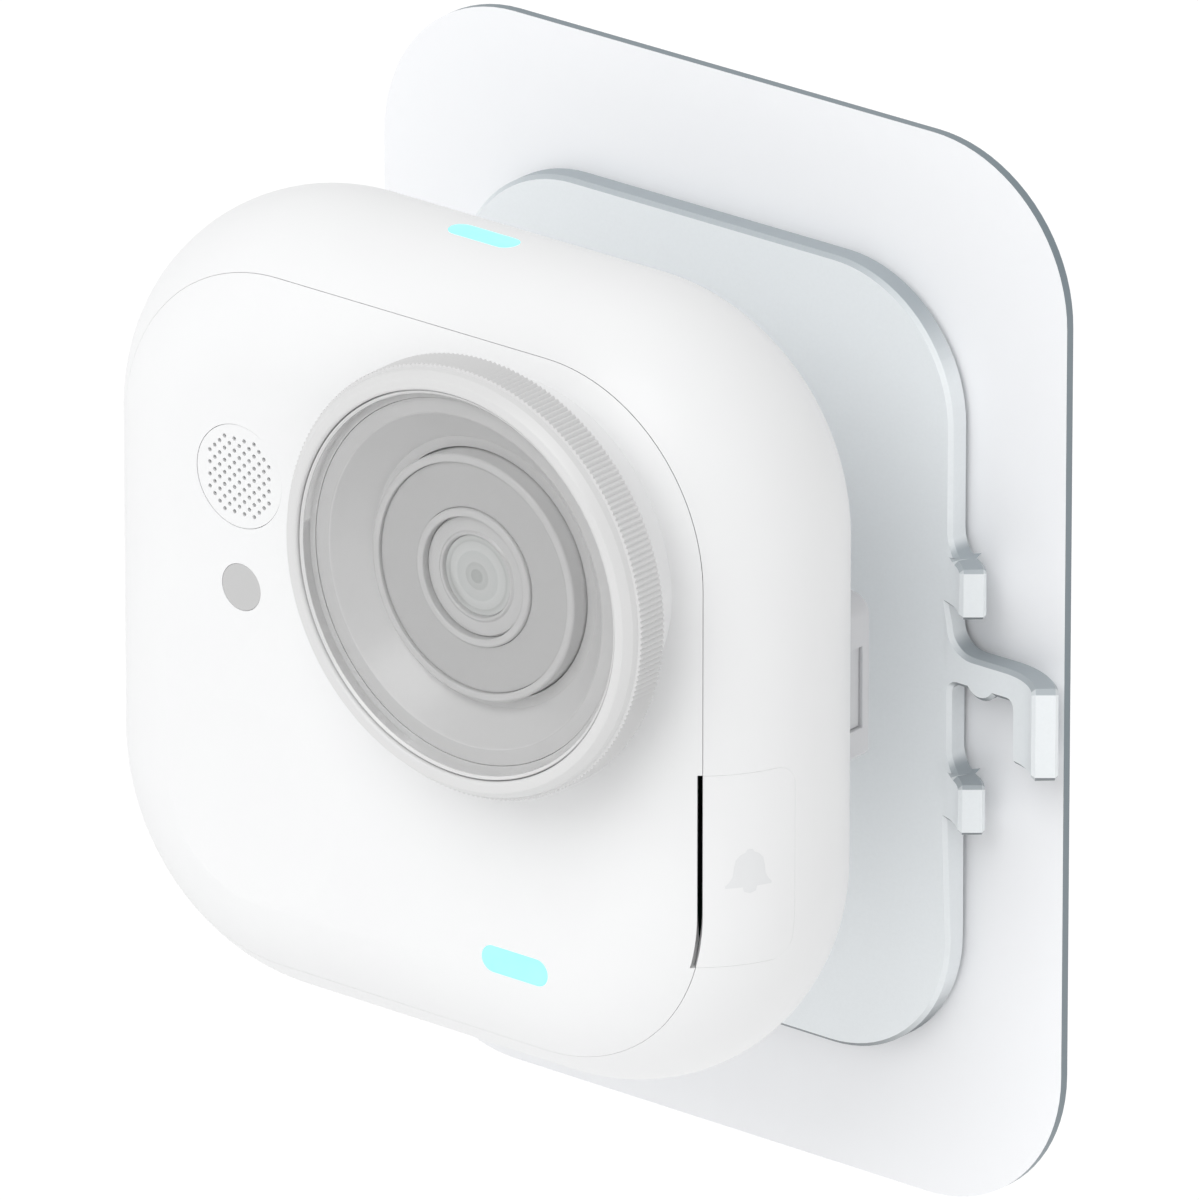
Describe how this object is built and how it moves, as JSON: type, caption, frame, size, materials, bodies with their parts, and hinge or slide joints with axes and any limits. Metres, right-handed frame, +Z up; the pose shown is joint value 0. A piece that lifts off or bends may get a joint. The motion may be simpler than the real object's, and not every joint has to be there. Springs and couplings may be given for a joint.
{
  "type": "video doorbell",
  "caption": "Battery video doorbell with a rounded square case, a knurled camera ring, a side bell key and a wall plate on a backing sheet that it hangs on.",
  "frame": {"origin": "centre of the backing sheet's rear face, which lies on the wall", "axes": "+Z up, +Y into the wall, so the visitor stands on the -Y side, and +X to the visitor's right"},
  "size_m": [0.0902, 0.0628, 0.1146],
  "materials": {
    "sheet_plastic": "smooth off-white sheet with a fine satin face",
    "adhesive": "soft foam tape, matt",
    "plate_metal": "pressed plate, fine matt silver powder coat with bright bent edges",
    "white_shell": "moulded satin white plastic",
    "seal_rubber": "moulded silicone",
    "screw_steel": "zinc-plated steel",
    "grey_trim": "light grey satin moulding",
    "bright_trim": "pale gloss ring",
    "lens_grey": "smooth grey lens-well moulding",
    "clear_glass": "coated clear glass",
    "sensor_grey": "grey infrared-passing plastic",
    "light_guide": "clear diffuser lit cyan",
    "led_body": "moulded light-emitting diode",
    "circuit_board": "solder-masked fibreglass board",
    "chip_glass": "bare sensor under cover glass",
    "black_plastic": "black moulding",
    "copper_film": "copper on a thin film",
    "battery_wrap": "shrink-wrapped battery",
    "foam": "soft foam",
    "grey_bar": "mid-grey satin moulding"
  },
  "bodies": {
    "wall_side": {"adhesive_pad": "adhesive", "backing_sheet": "sheet_plastic", "mounting_plate": "plate_metal"},
    "doorbell": {"bar_screws": "screw_steel", "battery_connector": "black_plastic", "battery_pack": "battery_wrap", "battery_pad": "foam", "battery_tray": "black_plastic", "board_screws": "screw_steel", "button_board": "circuit_board", "button_switch": "black_plastic", "camera_board": "circuit_board", "camera_screws": "screw_steel", "charge_board": "circuit_board", "charge_socket": "screw_steel", "cover_glass": "clear_glass", "front_cover": "white_shell", "front_led": "led_body", "front_led_board": "circuit_board", "front_lens": "clear_glass", "front_light_guide": "light_guide", "front_seal": "seal_rubber", "front_spacer": "black_plastic", "image_sensor": "chip_glass", "infrared_leds": "led_body", "infrared_window": "lens_grey", "latch_spring": "screw_steel", "led_ring_board": "circuit_board", "lens_barrel": "grey_trim", "lens_cell": "lens_grey", "lens_cone": "lens_grey", "lens_holder": "black_plastic", "lens_retainer": "bright_trim", "main_board": "circuit_board", "main_housing": "white_shell", "microphone": "screw_steel", "middle_lens": "clear_glass", "motion_sensor": "screw_steel", "motion_window": "sensor_grey", "rear_bar": "grey_bar", "rear_cover": "white_shell", "rear_lens": "clear_glass", "rear_screws": "screw_steel", "rear_seal": "seal_rubber", "rear_spacer": "black_plastic", "sensor_board": "circuit_board", "shield_can": "screw_steel", "speaker_driver": "black_plastic", "speaker_grille": "white_shell", "speaker_seal": "seal_rubber", "top_led": "led_body", "top_led_board": "circuit_board", "top_light_guide": "light_guide", "touch_electrode": "copper_film", "trim_ring": "bright_trim", "wifi_antenna": "copper_film"},
    "side_key": {"side_button": "white_shell", "switch_plunger": "black_plastic"},
    "knurled_ring": {"lens_ring": "grey_trim"},
    "pawl": {"latch_pawl": "grey_bar"}
  },
  "joints": [
    {"name": "dock", "type": "slide", "parent": "wall_side", "child": "doorbell", "axis": [0, 0.9035, -0.4286], "range_m": [0, 0.01832]},
    {"name": "side_button_press", "type": "slide", "parent": "doorbell", "child": "side_key", "axis": [-1, 0, 0], "range_m": [0, 0.0005], "stiffness_N_per_m": 3000},
    {"name": "lens_ring_twist", "type": "hinge", "parent": "doorbell", "child": "knurled_ring", "pos_m": [0.0159, -0.05985, 0.0254], "axis": [0, 1, 0], "range_deg": [0, 45]},
    {"name": "latch_pawl_slide", "type": "slide", "parent": "doorbell", "child": "pawl", "axis": [1, 0, 0], "range_m": [0, 0.0025], "stiffness_N_per_m": 200}
  ]
}
